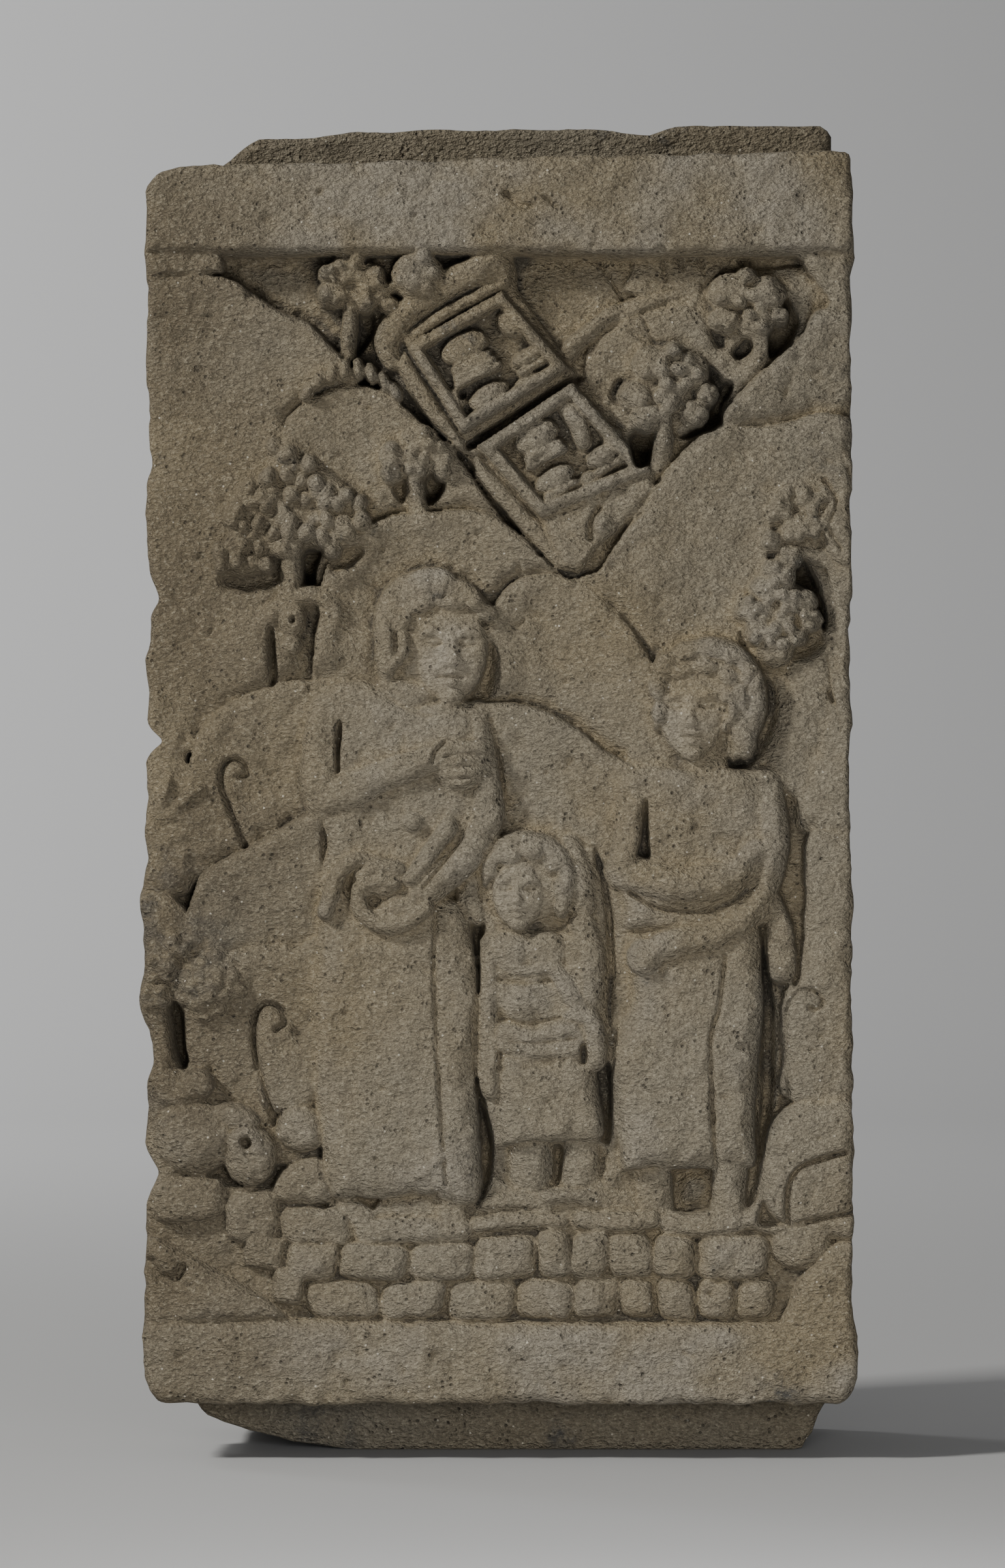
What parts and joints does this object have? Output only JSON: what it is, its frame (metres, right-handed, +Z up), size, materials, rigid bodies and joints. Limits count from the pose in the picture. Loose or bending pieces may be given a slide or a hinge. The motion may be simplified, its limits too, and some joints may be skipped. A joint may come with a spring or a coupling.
{
  "type": "frieze fragment",
  "caption": "Upright stone block from a frieze, carved in relief with standing figures in a hilly landscape, on a narrower rough body.",
  "frame": {"origin": "centre of the block's bounding box at its underside", "axes": "+Z up along the block's height, +Y from the carved face into the block, +X to the right as the carving is seen"},
  "size_m": [0.33, 0.1641, 0.62],
  "materials": {
    "volcanic_stone": "dry, grainy, weathered grey-brown volcanic stone"
  },
  "bodies": {
    "root": {"frieze_block": "volcanic_stone"}
  },
  "joints": []
}
